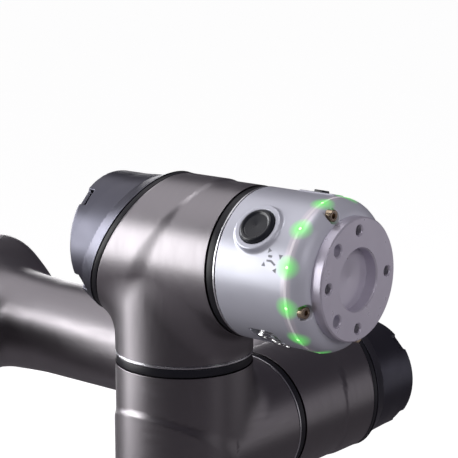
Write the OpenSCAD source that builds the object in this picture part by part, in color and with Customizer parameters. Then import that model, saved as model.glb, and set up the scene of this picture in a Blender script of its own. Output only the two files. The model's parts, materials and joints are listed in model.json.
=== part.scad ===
// Six-axis collaborative robot arm.
// Origin: centre of the base's underside. +Z is the base joint's axis, +X is the reach at rest.
// Rest pose: upper arm upright, forearm level along +X, wrist column upright, tool facing +X.

/* [Links] */
// Height of the shoulder joint's axis above the mounting face
shoulder_z = 145.1; // [140:0.1:160]
// Shoulder axis to elbow axis
upper_arm_l = 329; // [300:1:450]
// Elbow axis to first wrist axis
forearm_l = 311.5; // [280:0.5:420]
// Sideways offset of the upper arm from the base joint's axis
arm_offset = 131; // [128:1:140]
// Sideways offset of the wrist column from the forearm
wrist_offset = 126; // [122:1:130]
// First wrist axis to tool axis
wrist_rise = 110; // [108:1:116]
// Wrist column axis to the flange face
flange_reach = 114.4; // [112:0.1:118]

/* [Joints] */
// Radius of the base and shoulder joint housings
joint_r_large = 58; // [56:0.5:60]
// Radius of the elbow joint housing
joint_r_mid = 48; // [46:0.5:50]
// Radius of the first two wrist joint housings
joint_r_wrist = 37.5; // [36.5:0.5:38.5]
// Radius of the last wrist joint and the tool module
joint_r_tool = 39.5; // [39:0.5:40.5]
// Width of the black seal between two links
seal_w = 5; // [4.5:0.1:5.5]
// Width of the bright lip beside each seal
lip_w = 1.5; // [1:0.1:2]
// Wall thickness of the cast housings
wall = 4; // [3:0.5:4.5]
// How far the housing's larger half stands proud of its smaller half
step_h = 0.8; // [0.6:0.1:1.5]

/* [Arms] */
// Radius of the upper arm's tube
upper_tube_r = 43; // [40:1:45]
// Radius of the forearm's tube
fore_tube_r = 32; // [30:1:33]

/* [Base] */
// Radius of the base flange
base_flange_r = 78; // [76:1:80]
// Thickness of the base flange
base_flange_t = 12; // [10:1:14]
// Pitch circle of the mounting holes
base_pcd = 136; // [134:1:138]
// Diameter of the mounting holes
base_hole_d = 9; // [8:0.5:10]

/* [Tool end] */
// Diameter of the tool flange
flange_d = 63; // [62:0.1:64]
// Thickness of the tool flange
flange_t = 6; // [5:0.5:7]
// Diameter of the centring bore
centring_d = 31.5; // [31:0.1:32]
// Pitch circle of the tool holes
tool_pcd = 50; // [49:0.5:51]
// Drilled diameter of the threaded tool holes
tool_hole_d = 5; // [4.8:0.1:5.2]
// Diameter of the two dowel holes
dowel_d = 6; // [5:0.1:6]
// Diameter of the free-drive button
button_d = 19; // [18:0.5:20]
// Number of indicator lights on the ring
led_count = 12; // [8:1:16]

/* [Hidden] */
$fn = 64;

eps = 0.01;
elbow_z = shoulder_z + upper_arm_l;
tool_z = elbow_z + wrist_rise;

// One entry per joint, base to tool. The joint module's own frame has its origin where the link's
// axes meet, +Z leaving through the output end and +X pointing away from the link's own branch.
joint_at = [
    [0, 0, 0],
    [0, 0, shoulder_z],
    [0, -arm_offset, elbow_z],
    [forearm_l, 0, elbow_z],
    [forearm_l, -wrist_offset, elbow_z],
    [forearm_l, -wrist_offset, tool_z]
];
joint_turn = [[0, 0, 0], [90, 0, 0], [-90, 0, 0], [90, 0, 0], [0, 0, 0], [0, 90, 0]];
joint_spin = [0, 90, -90, 0, -90, 180];
joint_r = [joint_r_large, joint_r_large, joint_r_mid, joint_r_wrist, joint_r_wrist, joint_r_tool];

// Branch: from a link's centre to the outer face of the lip where the joint before it drives it
branch_l = [66, 60, 60, 57, 57];
// Head: from a link's centre to the end of its housing at the output
head_l = [
    shoulder_z - branch_l[0] - seal_w,
    arm_offset - branch_l[1] - seal_w,
    arm_offset - branch_l[2] - seal_w,
    wrist_offset - branch_l[3] - seal_w,
    wrist_rise - branch_l[4] - seal_w,
    48
];
// Slanted joint between housing and cap: height on the axis and slope towards the branch
cap_z = [0, -34, -26, -17, -21.5, -22];
cap_slope = [0, 24, 24, 22, 24, 26];
// Outer end of each cap
cap_end_z = [0, -69, -60, -50, -50, -50.5];
// Slanted step between the larger and the smaller half of each housing
step_z = 4.5;
step_slope = 29;

gasket_w = 3.5;
cap_wall = 2.5;
cap_band_w = 9;
cap_corner = 2;
cap_slim = 2.2;
// How far the cap's band and its gasket stand proud of the housing beside them
band_proud = 0.7;
gasket_proud = 0.2;
// Shallow notches in the rim of each cap, on both sides of its long side
notch_turns = [44, 124, -124, -44];
notch_w = 10;
notch_depth = 2;
notch_h = 5.5;
// Dished end face of each cap
dish_rim_w = 9;
dish_depth = 0.8;

// Foot and power inlet
base_floor_t = 5;
boss = [14, 48, 54];
boss_proud = 6;
connector_z = 32;
connector_r = 14;
connector_l = 15;
connector_plate = [36, 36, 3];

// Bends at the start of the two arms: far end, corner radius, taper length; the taper starts slimmer
// than the far end by bend_inset
bend_inset = 3;
upper_bend = [50, 14, 105];
fore_bend = [42, 12, 90];

module at_joint(j) {
    translate(joint_at[j])
        rotate(joint_turn[j])
            rotate([0, 0, joint_spin[j]])
                children();
}

// Everything below a slanted plane that crosses the axis at height z
module below(z, slope) {
    size = 400;
    translate([0, 0, z])
        rotate([0, -slope, 0])
            translate([-size / 2, -size / 2, -size])
                cube(size);
}

// Solid of revolution about Z between two heights
module disc(r, z0, z1) {
    translate([0, 0, z0])
        cylinder(r = r, h = z1 - z0);
}

module ring(r_out, r_in, z0, z1) {
    difference() {
        disc(r_out, z0, z1);
        disc(r_in, z0 - 1, z1 + 1);
    }
}

// Cylinder whose lower rim is rounded
module round_end(r, corner, z0, z1) {
    rotate_extrude()
        intersection() {
            union() {
                translate([0, z0 + corner])
                    square([r, z1 - z0 - corner]);
                translate([0, z0])
                    square([r - corner, corner + eps]);
                translate([r - corner, z0 + corner])
                    circle(corner);
            }
            translate([0, z0])
                square([r, z1 - z0]);
        }
}

// Pipe from the link's centre along the module's -X
module branch(r, length) {
    rotate([0, -90, 0])
        cylinder(r = r, h = length);
}

// Cone-shaped stretch along -X between two distances from the link's centre
module branch_cone(r0, r1, x0, x1) {
    rotate([0, -90, 0])
        translate([0, 0, x0])
            cylinder(r1 = r0, r2 = r1, h = x1 - x0);
}

// ---------- housings ----------

// Outside of one joint's head, before the slanted end is cut
module head_outer(j) {
    r = joint_r[j];
    disc(r, cap_end_z[j], head_l[j]);
    intersection() {
        disc(r + step_h, cap_end_z[j], head_l[j]);
        below(step_z, step_slope);
    }
}

module head_cavity(j) {
    disc(joint_r[j] - wall, cap_end_z[j] - 1, head_l[j] + 1);
}

// A link with a head, a cavity and the slanted opening for its cap; children are the branch
// outside (first) and the branch cavity (second)
module link_shell(j) {
    difference() {
        union() {
            head_outer(j);
            children(0);
        }
        head_cavity(j);
        children(1);
        below(cap_z[j], cap_slope[j]);
    }
}

module base_housing() {
    r = joint_r[0];
    color([0.50, 0.47, 0.48])
        difference() {
            union() {
                disc(base_flange_r, 0, base_flange_t);
                disc(r, 0, head_l[0]);
                disc(r + step_h, 0, head_l[0] - 22);
                translate([-r - boss_proud, -boss[1] / 2, 0])
                    cube(boss);
            }
            disc(r - wall, base_floor_t, head_l[0] + 1);
            for (a = [45 : 90 : 315])
                rotate([0, 0, a])
                    translate([base_pcd / 2, 0, -1])
                        cylinder(d = base_hole_d, h = base_flange_t + 2);
            translate([-r - 7, 0, connector_z])
                rotate([0, 90, 0])
                    cylinder(r = connector_r - 2, h = 20);
        }
}

module base_connector() {
    color([0.75, 0.75, 0.77])
        translate([-joint_r[0] - boss_proud, 0, connector_z])
            rotate([0, -90, 0])
                difference() {
                    union() {
                        translate([-connector_plate[0] / 2, -connector_plate[1] / 2, 0])
                            cube(connector_plate);
                        cylinder(r = connector_r - 1, h = connector_l);
                    }
                    translate([0, 0, connector_plate[2]])
                        cylinder(r = connector_r - 4, h = connector_l);
                }
}

module shoulder_housing() {
    color([0.50, 0.47, 0.48])
        at_joint(1)
            link_shell(1) {
                branch(joint_r[0], branch_l[0] - lip_w);
                branch(joint_r[0] - wall - 1, branch_l[0]);
            }
}

// Arm casting of link j, in its head's frame: the head, a tube along -X and a tapered bend on the
// output of the joint before. The bend is [far end, corner, taper length].
module arm_housing(j, length, tube_r, bend) {
    r0 = joint_r[j - 1];
    color([0.50, 0.47, 0.48])
        at_joint(j)
            difference() {
                union() {
                    head_outer(j);
                    branch(tube_r, length);
                    translate([-length, 0, 0])
                        round_end(r0, bend[1], -bend[0], branch_l[j - 1] - lip_w);
                    translate([-length, 0, 0])
                        rotate([0, 90, 0])
                            cylinder(r1 = bend[0] - bend_inset, r2 = tube_r, h = bend[2]);
                }
                head_cavity(j);
                branch(tube_r - wall, length);
                translate([-length, 0, 0])
                    disc(r0 - wall - 1, wall - bend[0], branch_l[j - 1] + 1);
                below(cap_z[j], cap_slope[j]);
            }
}

module wrist_housing(j) {
    color([0.50, 0.47, 0.48])
        at_joint(j)
            link_shell(j) {
                branch(joint_r[j - 1], branch_l[j - 1] - lip_w);
                branch(joint_r[j - 1] - wall - 1, branch_l[j - 1]);
            }
}

// ---------- caps and gaskets ----------

// Slice of the head between two parallel slanted planes, counted downwards from the housing's end
module slanted_slice(j, from, to) {
    difference() {
        intersection() {
            children();
            below(cap_z[j] - from, cap_slope[j]);
        }
        below(cap_z[j] - to, cap_slope[j]);
    }
}

module gasket(j) {
    r = joint_r[j];
    color([0.03, 0.03, 0.035])
        at_joint(j)
            slanted_slice(j, 0, gasket_w)
                ring(r + step_h + gasket_proud, r - wall, cap_end_z[j], head_l[j]);
}

// Cap: a flared band beside the gasket, a slimmer body, a rounded rim and an end face
module cap(j) {
    r = joint_r[j];
    body_r = r - cap_slim;
    color([0.17, 0.18, 0.21])
        at_joint(j)
            difference() {
                intersection() {
                    union() {
                        round_end(body_r, cap_corner, cap_end_z[j], head_l[j]);
                        slanted_slice(j, gasket_w, gasket_w + cap_band_w)
                            disc(r + step_h + band_proud, cap_end_z[j] + cap_corner, head_l[j]);
                    }
                    below(cap_z[j] - gasket_w, cap_slope[j]);
                }
                disc(body_r - cap_wall - notch_depth, cap_end_z[j] + cap_wall, cap_end_z[j] + notch_h + 2);
                disc(body_r - cap_wall, cap_end_z[j] + notch_h + 2, head_l[j]);
                disc(body_r - dish_rim_w, cap_end_z[j] - 1, cap_end_z[j] + dish_depth);
                for (turn = notch_turns)
                    rotate([0, 0, turn])
                        translate([body_r - notch_depth, -notch_w / 2, cap_end_z[j] - 1])
                            cube([2 * notch_depth, notch_w, notch_h + 1]);
            }
}

// ---------- joint drives ----------

// Depths below the housing's end, in the joint module's own frame
function race_depth(j) = 0.25 * joint_r[j];
function gear_depth(j) = 0.5 * joint_r[j];
function motor_len(j) = 0.42 * joint_r[j];
function race_r(j) = 0.66 * joint_r[j];
function spline_r(j) = 0.6 * joint_r[j];
function shaft_r(j) = 0.25 * joint_r[j];
function motor_top(j) = head_l[j] - gear_depth(j) - 3;
function motor_low(j) = motor_top(j) - motor_len(j);

fit_gap = 0.05;
turn_gap = 0.3;
flex_wall = 1.2;
shield_t = 4;

// Black ring that closes the gap between two links
module seal(j) {
    r = joint_r[j];
    h = head_l[j];
    color([0.03, 0.03, 0.035])
        at_joint(j)
            ring(r - 0.6, r - 6, h, h + seal_w - turn_gap);
}

// Driven flange: bright lip, hub and the bearing's inner race, bored through for the cables
module output_flange(j) {
    r = joint_r[j];
    h = head_l[j];
    color([0.80, 0.80, 0.82])
        at_joint(j)
            difference() {
                union() {
                    disc(r, h + seal_w, h + seal_w + lip_w);
                    disc(r - 7, h - 2, h + seal_w);
                    disc(race_r(j), h - race_depth(j), h - 2);
                }
                disc(shaft_r(j), h - race_depth(j) - 1, h + seal_w + lip_w + 1);
            }
}

// Fixed toothed ring of the strain-wave gear with the bearing's outer race
module gear_ring(j) {
    h = head_l[j];
    color([0.60, 0.60, 0.62])
        at_joint(j)
            difference() {
                disc(joint_r[j] - wall, h - gear_depth(j), h - 2 - turn_gap);
                disc(race_r(j) + fit_gap, h - race_depth(j), h);
                disc(spline_r(j), h - gear_depth(j) - 1, h);
            }
}

// Thin flexible cup that carries the gear's output
module flexspline(j) {
    h = head_l[j];
    r = spline_r(j) - 0.2;
    top = h - race_depth(j);
    color([0.66, 0.66, 0.68])
        at_joint(j)
            difference() {
                disc(r, h - gear_depth(j), top);
                disc(r - flex_wall, h - gear_depth(j) - 1, top - 2);
                disc(shaft_r(j), h - gear_depth(j), top + 1);
            }
}

// Motor stator with the end shield that carries the shaft
module stator(j) {
    r = joint_r[j] - wall;
    color([0.55, 0.33, 0.18])
        at_joint(j) {
            ring(r, 0.45 * joint_r[j] + 0.6, motor_low(j) - 1, motor_top(j));
            ring(r, shaft_r(j) + fit_gap, motor_low(j) - 1 - shield_t, motor_low(j) - 1);
        }
}

// Hollow motor shaft with the magnet drum and the wave generator
module rotor(j) {
    top = head_l[j] - race_depth(j) - 2 - turn_gap;
    low = motor_low(j) - shield_t - 5;
    plug_r = spline_r(j) - 0.2 - flex_wall - turn_gap;
    color([0.35, 0.36, 0.40])
        at_joint(j)
            difference() {
                union() {
                    disc(shaft_r(j), low, top);
                    disc(0.45 * joint_r[j], motor_low(j), motor_top(j));
                    disc(plug_r, head_l[j] - gear_depth(j) + 1, top);
                }
                disc(shaft_r(j) - 3, low - 1, top + 1);
            }
}

// ---------- tool module ----------

module_front = flange_reach - flange_t;
module_back = head_l[5] + seal_w + lip_w;
module_corner = 9;
flange_boss_r = 18;
flange_boss_t = 3;
centring_depth = 6.5;
led_z = 98.6;
led_turn = 14;
ring_w = 1.6;
ring_depth = 1.5;
button_z = 74.6;
button_turn = 49;
bezel_r = 13;
bezel_top = joint_r_tool + 1.4;
button_top = joint_r_tool + 3.2;
point_z = 84;
point_turn = -14;
// Underside recess: along the tool axis, round the barrel, and its depth
recess = [16, 28, 6.5];
recess_turn = 153;
recess_z = 76;
port_pitch = 13.4;
screw_circle = 35;
screw_turn = 20;

// Place something on the module's barrel: z along the tool axis, angle from the top towards the
// side that faces away from the forearm
module on_barrel(z, angle) {
    at_joint(5)
        rotate([0, 0, angle])
            translate([0, 0, z])
                rotate([0, 90, 0])
                    children();
}

module tool_housing() {
    r = joint_r_tool;
    color([0.70, 0.73, 0.78])
        difference() {
            union() {
                at_joint(5)
                    translate([0, 0, module_back + module_front])
                        mirror([0, 0, 1])
                            round_end(r, module_corner, module_back, module_front);
                on_barrel(button_z, button_turn)
                    cylinder(r = bezel_r, h = bezel_top);
                on_barrel(point_z, point_turn)
                    translate([-11, -5, 0])
                        cube([22, 10, r + 0.6]);
            }
            at_joint(5) {
                disc(r - wall, module_back - 1, module_front - 13);
                disc(flange_boss_r + 0.1, module_front - flange_boss_t, module_front + 1);
                ring(r + 1, r - ring_depth, led_z - ring_w / 2, led_z + ring_w / 2);
                for (k = [0 : 3])
                    rotate([0, 0, screw_turn + 90 * k])
                        translate([screw_circle, 0, module_front - 5]) {
                            cylinder(d = 7, h = 6);
                            translate([0, 0, -6])
                                cylinder(d = 4, h = 7);
                        }
            }
            on_barrel(button_z, button_turn)
                translate([0, 0, r - 12])
                    cylinder(d = button_d + 0.6, h = 20);
            on_barrel(point_z, point_turn)
                translate([-3.3, -3.3, r - 9])
                    cube([6.6, 6.6, 12]);
            on_barrel(recess_z, recess_turn)
                translate([-recess[0] / 2, -recess[1] / 2, r - recess[2]])
                    cube([recess[0], recess[1], recess[2] + 4]);
        }
}

module tool_flange() {
    color([0.63, 0.60, 0.66])
        at_joint(5)
            difference() {
                union() {
                    disc(flange_d / 2, module_front, flange_reach);
                    disc(flange_boss_r, module_front - flange_boss_t + fit_gap, module_front);
                }
                disc(centring_d / 2, flange_reach - centring_depth, flange_reach + 1);
                for (k = [0 : 3])
                    rotate([0, 0, 90 * k])
                        translate([tool_pcd / 2, 0, module_front - 1])
                            cylinder(d = tool_hole_d, h = flange_t + 2);
                for (a = [45, 135])
                    rotate([0, 0, a])
                        translate([tool_pcd / 2, 0, module_front - 1])
                            cylinder(d = dowel_d, h = flange_t + 2);
            }
}

module tool_screws() {
    color([0.62, 0.55, 0.45])
        at_joint(5)
            for (k = [0 : 3])
                rotate([0, 0, screw_turn + 90 * k])
                    translate([screw_circle, 0, module_front - 11])
                        difference() {
                            union() {
                                cylinder(d = 4, h = 7);
                                translate([0, 0, 6])
                                    cylinder(d = 6, h = 3.6);
                            }
                            translate([0, 0, 7.5])
                                cylinder(d = 3.2, h = 3, $fn = 6);
                        }
}

// Two round sockets side by side on one plate at the bottom of the recess
module tool_connector() {
    plate = [recess[0] - 1, recess[1] - 1, 1.5];
    color([0.80, 0.80, 0.80])
        on_barrel(recess_z, recess_turn)
            translate([0, 0, joint_r_tool - recess[2]])
                difference() {
                    union() {
                        translate([-plate[0] / 2, -plate[1] / 2, 0])
                            cube(plate);
                        for (side = [-1, 1])
                            translate([0, side * port_pitch / 2, 0])
                                cylinder(r = 5.6, h = 6);
                    }
                    for (side = [-1, 1])
                        translate([0, side * port_pitch / 2, plate[2]])
                            cylinder(r = 4.2, h = 6);
                }
}

// Light guide ring with its lamp windows
module light_ring() {
    r = joint_r_tool;
    color([0.80, 0.95, 0.82])
        at_joint(5) {
            ring(r, r - ring_depth, led_z - ring_w / 2, led_z + ring_w / 2);
            for (k = [0 : led_count - 1])
                rotate([0, 0, led_turn + 360 / led_count * k])
                    translate([r - 1, 0, led_z])
                        rotate([0, 90, 0])
                            cylinder(r = 0.75, h = 1.2);
        }
}

module free_drive_button() {
    color([0.06, 0.06, 0.07])
        on_barrel(button_z, button_turn)
            difference() {
                union() {
                    translate([0, 0, joint_r_tool - 8])
                        cylinder(d = button_d, h = button_top - joint_r_tool + 7);
                    translate([0, 0, button_top - 1])
                        cylinder(d1 = button_d, d2 = button_d - 2, h = 1);
                }
                translate([0, 0, button_top - 0.7])
                    cylinder(d = button_d - 5, h = 1);
            }
}

module point_button() {
    color([0.08, 0.08, 0.09])
        on_barrel(point_z, point_turn)
            translate([-3, -3, joint_r_tool - 6])
                cube([6, 6, 7.8]);
}

base_housing();
base_connector();
shoulder_housing();
cap(1);  // shoulder_cap
gasket(1);  // shoulder_gasket
arm_housing(2, upper_arm_l, upper_tube_r, upper_bend);  // upper_arm_housing
cap(2);  // upper_arm_cap
gasket(2);  // upper_arm_gasket
arm_housing(3, forearm_l, fore_tube_r, fore_bend);  // forearm_housing
cap(3);  // forearm_cap
gasket(3);  // forearm_gasket
wrist_housing(4);  // wrist1_housing
cap(4);  // wrist1_cap
gasket(4);  // wrist1_gasket
wrist_housing(5);  // wrist2_housing
cap(5);  // wrist2_cap
gasket(5);  // wrist2_gasket
tool_housing();
tool_flange();
tool_screws();
tool_connector();
light_ring();
free_drive_button();
point_button();
seal(0);  // j1_seal
seal(1);  // j2_seal
seal(2);  // j3_seal
seal(3);  // j4_seal
seal(4);  // j5_seal
seal(5);  // j6_seal
output_flange(0);  // j1_output_flange
output_flange(1);  // j2_output_flange
output_flange(2);  // j3_output_flange
output_flange(3);  // j4_output_flange
output_flange(4);  // j5_output_flange
output_flange(5);  // j6_output_flange
gear_ring(0);  // j1_gear_ring
gear_ring(1);  // j2_gear_ring
gear_ring(2);  // j3_gear_ring
gear_ring(3);  // j4_gear_ring
gear_ring(4);  // j5_gear_ring
gear_ring(5);  // j6_gear_ring
flexspline(0);  // j1_flexspline
flexspline(1);  // j2_flexspline
flexspline(2);  // j3_flexspline
flexspline(3);  // j4_flexspline
flexspline(4);  // j5_flexspline
flexspline(5);  // j6_flexspline
stator(0);  // j1_stator
stator(1);  // j2_stator
stator(2);  // j3_stator
stator(3);  // j4_stator
stator(4);  // j5_stator
stator(5);  // j6_stator
rotor(0);  // j1_rotor
rotor(1);  // j2_rotor
rotor(2);  // j3_rotor
rotor(3);  // j4_rotor
rotor(4);  // j5_rotor
rotor(5);  // j6_rotor
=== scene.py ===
"""Looks of a six-axis collaborative robot arm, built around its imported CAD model.

Lengths are in millimetres until a mesh is made, and each piece is modelled in the frame of its
joint: +Z leaves through the joint's output and +X points away from the link's own branch.
"""

import json
import math

import bmesh
import bpy
import numpy as np
from mathutils import Matrix, Vector


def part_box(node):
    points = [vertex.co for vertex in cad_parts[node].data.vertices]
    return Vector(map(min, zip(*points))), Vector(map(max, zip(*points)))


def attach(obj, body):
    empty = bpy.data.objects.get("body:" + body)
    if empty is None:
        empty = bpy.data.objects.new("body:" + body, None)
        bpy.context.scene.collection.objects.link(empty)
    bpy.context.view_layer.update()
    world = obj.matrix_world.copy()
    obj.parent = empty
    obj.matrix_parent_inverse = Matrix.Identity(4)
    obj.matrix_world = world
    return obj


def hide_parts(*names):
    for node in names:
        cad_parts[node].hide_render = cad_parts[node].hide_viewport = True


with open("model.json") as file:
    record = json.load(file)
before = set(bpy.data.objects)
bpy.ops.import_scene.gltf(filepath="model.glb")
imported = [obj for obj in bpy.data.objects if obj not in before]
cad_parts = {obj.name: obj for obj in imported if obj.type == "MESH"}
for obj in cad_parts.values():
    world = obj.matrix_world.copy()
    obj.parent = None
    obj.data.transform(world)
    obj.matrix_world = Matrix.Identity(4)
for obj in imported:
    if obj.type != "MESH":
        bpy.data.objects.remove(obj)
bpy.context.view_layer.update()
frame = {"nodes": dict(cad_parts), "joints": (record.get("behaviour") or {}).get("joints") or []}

MM = 0.001
X, Y, Z = Vector((1, 0, 0)), Vector((0, 1, 0)), Vector((0, 0, 1))

# ---------- sizes, read from the frame ----------


def span(node):
    """Lowest and highest corner of a CAD node in millimetres"""
    low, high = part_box(node)
    return low / MM, high / MM


def joint_place(name):
    joint = next(j for j in frame["joints"] if j["name"] == name)
    return Vector(joint["pos_m"]) / MM


JOINTS = ("base_turn", "shoulder_lift", "elbow_bend", "wrist1_bend", "wrist2_turn", "tool_turn")
PLACES = [joint_place(name) for name in JOINTS]
PLACES[0].z = 0
# Output direction and the direction away from the branch, one pair per joint
DIRECTIONS = ((Z, X), (-Y, Z), (Y, Z), (-Y, X), (Z, -Y), (X, Z))


def joint_frame(j):
    """Matrix of joint j's own frame, in millimetres"""
    out, away = DIRECTIONS[j]
    turn = Matrix((away, out.cross(away), out)).transposed().to_4x4()
    return Matrix.Translation(PLACES[j]) @ turn


def height(j, point):
    """How far a point lies along joint j's output direction"""
    return (point - PLACES[j]).dot(DIRECTIONS[j][0])


def ends(j, node):
    """Lowest and highest place of a CAD node along joint j's output direction"""
    low, high = (height(j, corner) for corner in span(node))
    return min(low, high), max(low, high)


def radius_of(j):
    """Radius of joint j's housing, which its output lip shares"""
    low, high = span(f"j{j + 1}_output_flange")
    sizes = sorted(high - low)
    return sizes[-1] / 2


LINKS = ("base", "shoulder", "upper_arm", "forearm", "wrist1", "wrist2", "tool")
RADIUS = [radius_of(j) for j in range(6)]
SEAL_LOW = [ends(j, f"j{j + 1}_seal")[0] for j in range(6)]
LIP_TOP = [ends(j, f"j{j + 1}_output_flange")[1] for j in range(6)]
LIP_W = 1.5
SEAL_W = LIP_TOP[0] - SEAL_LOW[0] - LIP_W
CAP_END = [0] + [ends(j, f"{LINKS[j]}_cap")[0] for j in range(1, 6)]
WALL = 4
STEP_H = 0.8
STEP_Z = 4.5
STEP_SLOPE = math.tan(math.radians(29))
# Width of the step's soft edge, far from the branch and beside it
STEP_SOFT = (3.5, 11.0)
GASKET_W = 3.5
CAP_Z = (0, -34, -26, -17, -21.5, -22)
CAP_SLOPE = [math.tan(math.radians(a)) for a in (0, 24, 24, 22, 24, 26)]
CAP_SLIM = 2.2
BAND_PROUD = 0.7
GASKET_PROUD = 0.2
BRANCH = [0] + [(PLACES[j] - PLACES[j - 1]).dot(DIRECTIONS[j - 1][0]) - LIP_TOP[j - 1] for j in range(1, 6)]

# ---------- distance fields ----------


def tube(p, axis, radius, low, high, edge=0.0):
    """Distance to a cylinder along a coordinate axis, with its rims rounded to edge"""
    others = [i for i in range(3) if i != axis]
    side = np.hypot(p[:, others[0]], p[:, others[1]]) - radius + edge
    cap = np.maximum(low - p[:, axis], p[:, axis] - high) + edge
    inner = np.minimum(np.maximum(side, cap), 0)
    return inner + np.hypot(np.maximum(side, 0), np.maximum(cap, 0)) - edge


def block(p, centre, half, edge=0.0):
    """Distance to a box with rounded edges"""
    d = np.abs(p - np.array(centre)) - (np.array(half) - edge)
    return np.minimum(d.max(1), 0) + np.linalg.norm(np.maximum(d, 0), axis=1) - edge


def join(a, b, blend):
    """Union whose inner corner is filled over the width blend"""
    blend = np.maximum(blend, 0.01)
    h = np.maximum(blend - np.abs(a - b), 0) / blend
    return np.minimum(a, b) - h * h * blend / 4


def cut(a, b, blend=0.0):
    """a without b, the outer corner softened over the width blend"""
    return -join(-a, b, blend)


def ramp(t):
    t = np.clip(t, 0, 1)
    return t * t * (3 - 2 * t)


def crossing(p, x_mid=0.0):
    """Share of a fillet that fits between a pipe along Z at x_mid and a pipe along X: none where they lie side by side"""
    x, y, z = (p[:, 0] - x_mid), p[:, 1], p[:, 2]
    dot = y * y / (np.hypot(x, y) * np.hypot(y, z) + 1e-6)
    return 1 - dot * dot


# ---------- meshes from fields ----------


def slopes(field, p, h=0.05):
    """Unit gradient of a field"""
    g = np.empty_like(p)
    for i in range(3):
        d = np.zeros(3)
        d[i] = h
        g[:, i] = field(p + d) - field(p - d)
    return g / (np.linalg.norm(g, axis=1, keepdims=True) + 1e-12)


def net(field, low, high, cell):
    """Quads round the zero level of a field inside a box, one vertex to a cell, pulled onto the level"""
    low, high = np.array(low, float), np.array(high, float)
    count = np.ceil((high - low) / cell).astype(int) + 1
    lines = [low[i] + cell * np.arange(count[i]) for i in range(3)]
    grid = np.stack(np.meshgrid(*lines, indexing="ij"), -1)
    value = field(grid.reshape(-1, 3)).reshape(count)
    inside = value < 0
    total = np.zeros((*(count - 1), 3))
    hits = np.zeros(count - 1)
    crossings = []
    for axis in range(3):
        near = [slice(None)] * 3
        far = [slice(None)] * 3
        near[axis], far[axis] = slice(None, -1), slice(1, None)
        a, b = value[tuple(near)], value[tuple(far)]
        change = inside[tuple(near)] != inside[tuple(far)]
        where = np.argwhere(change)
        share = (a[change] / (a[change] - b[change]))[:, None]
        point = grid[tuple(where.T)] + share * cell * np.eye(3)[axis]
        u, v = [i for i in range(3) if i != axis]
        corners = []
        for du, dv in ((-1, -1), (0, -1), (0, 0), (-1, 0)):
            c = where.copy()
            c[:, u] += du
            c[:, v] += dv
            corners.append(c)
        whole = np.all([(c >= 0).all(1) & (c < count - 1).all(1) for c in corners], axis=0)
        for c in corners:
            ok = (c >= 0).all(1) & (c < count - 1).all(1)
            np.add.at(total, tuple(c[ok].T), point[ok])
            np.add.at(hits, tuple(c[ok].T), 1)
        flip = inside[tuple(near)][change] ^ (axis == 1)
        crossings.append((np.stack(corners, 1)[whole], flip[whole]))
    used = hits > 0
    index = -np.ones(count - 1, int)
    index[used] = np.arange(used.sum())
    verts = total[used] / hits[used][:, None]
    for _ in range(3):
        g = slopes(field, verts)
        step = np.clip(field(verts), -cell, cell)[:, None] * g
        verts = verts - 0.9 * step
    faces = []
    for corners, flip in crossings:
        quad = index[tuple(np.moveaxis(corners, -1, 0))]
        faces.append(np.where(flip[:, None], quad, quad[:, ::-1]))
    return verts, np.concatenate(faces)


def close_end(bm, normal_layer, field, point, normal, bevel):
    """Cuts the mesh at a plane, gives the cut's rims a round bevel and fills the face between them"""
    point, normal = Vector(point), Vector(normal).normalized()
    everything = bm.verts[:] + bm.edges[:] + bm.faces[:]
    bmesh.ops.bisect_plane(
        bm, geom=everything, dist=1e-4, plane_co=point - normal * bevel, plane_no=normal, clear_outer=True
    )
    rim = [e for e in bm.edges if e.is_boundary]
    rim = [e for e in rim if all(abs((v.co - point).dot(normal) + bevel) < 1e-2 for v in e.verts)]
    old = sorted({v for e in rim for v in e.verts}, key=lambda v: v.index if v.index >= 0 else 0)
    if not old:
        return
    bm.verts.index_update()
    old.sort(key=lambda v: v.index)
    places = np.array([v.co[:] for v in old])
    out = slopes(field, places)
    out -= (out @ np.array(normal))[:, None] * np.array(normal)
    out /= np.linalg.norm(out, axis=1, keepdims=True) + 1e-9
    for v, o in zip(old, out):
        v[normal_layer] = Vector(o)
    ring = {v: v for v in old}
    steps = 3
    for k in range(1, steps + 1):
        turn = math.pi / 2 * k / steps
        rise, draw = bevel * math.sin(turn), bevel * (1 - math.cos(turn))
        new = {}
        for v, place, o in zip(old, places, out):
            o = Vector(o)
            n = bm.verts.new(Vector(place) + normal * rise - o * draw)
            n[normal_layer] = normal * math.sin(turn) + o * math.cos(turn)
            new[v] = n
        for e in rim:
            a, b = e.verts
            loop = next((f for f in e.link_faces), None)
            if loop:
                order = [l.vert for l in loop.loops]
                i = order.index(a)
                if order[(i + 1) % len(order)] is b:
                    a, b = b, a
            bm.faces.new((ring[a], ring[b], new[b], new[a]))
        ring = new
    last = {ring[v] for v in old}
    edges = [e for e in bm.edges if e.is_boundary and all(v in last for v in e.verts)]
    filled = bmesh.ops.triangle_fill(bm, edges=edges, use_beauty=True, normal=normal)
    for f in filled["geom"]:
        if isinstance(f, bmesh.types.BMFace) and f.normal.dot(normal) < 0:
            f.normal_flip()


def solid(field, low, high, cell, cuts=(), bevel=0.5):
    """(vertices, faces, normals) of a field's solid, cut off at planes (point, normal)"""
    verts, faces = net(field, low, high, cell)
    if not cuts:
        return verts, faces.tolist(), slopes(field, verts)
    bm = bmesh.new()
    layer = bm.verts.layers.float_vector.new("smooth")
    made = [bm.verts.new(v) for v in verts]
    for face in faces:
        bm.faces.new([made[i] for i in face])
    bm.verts.index_update()
    for point, normal in cuts:
        close_end(bm, layer, field, point, normal, bevel)
    bmesh.ops.delete(bm, geom=[v for v in bm.verts if not v.link_faces], context="VERTS")
    bm.verts.index_update()
    verts = np.array([v.co[:] for v in bm.verts])
    normals = np.array([v[layer][:] for v in bm.verts])
    plain = np.linalg.norm(normals, axis=1) < 0.5
    normals[plain] = slopes(field, verts[plain])
    faces = [[v.index for v in f.verts] for f in bm.faces]
    bm.free()
    return verts, faces, normals


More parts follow.
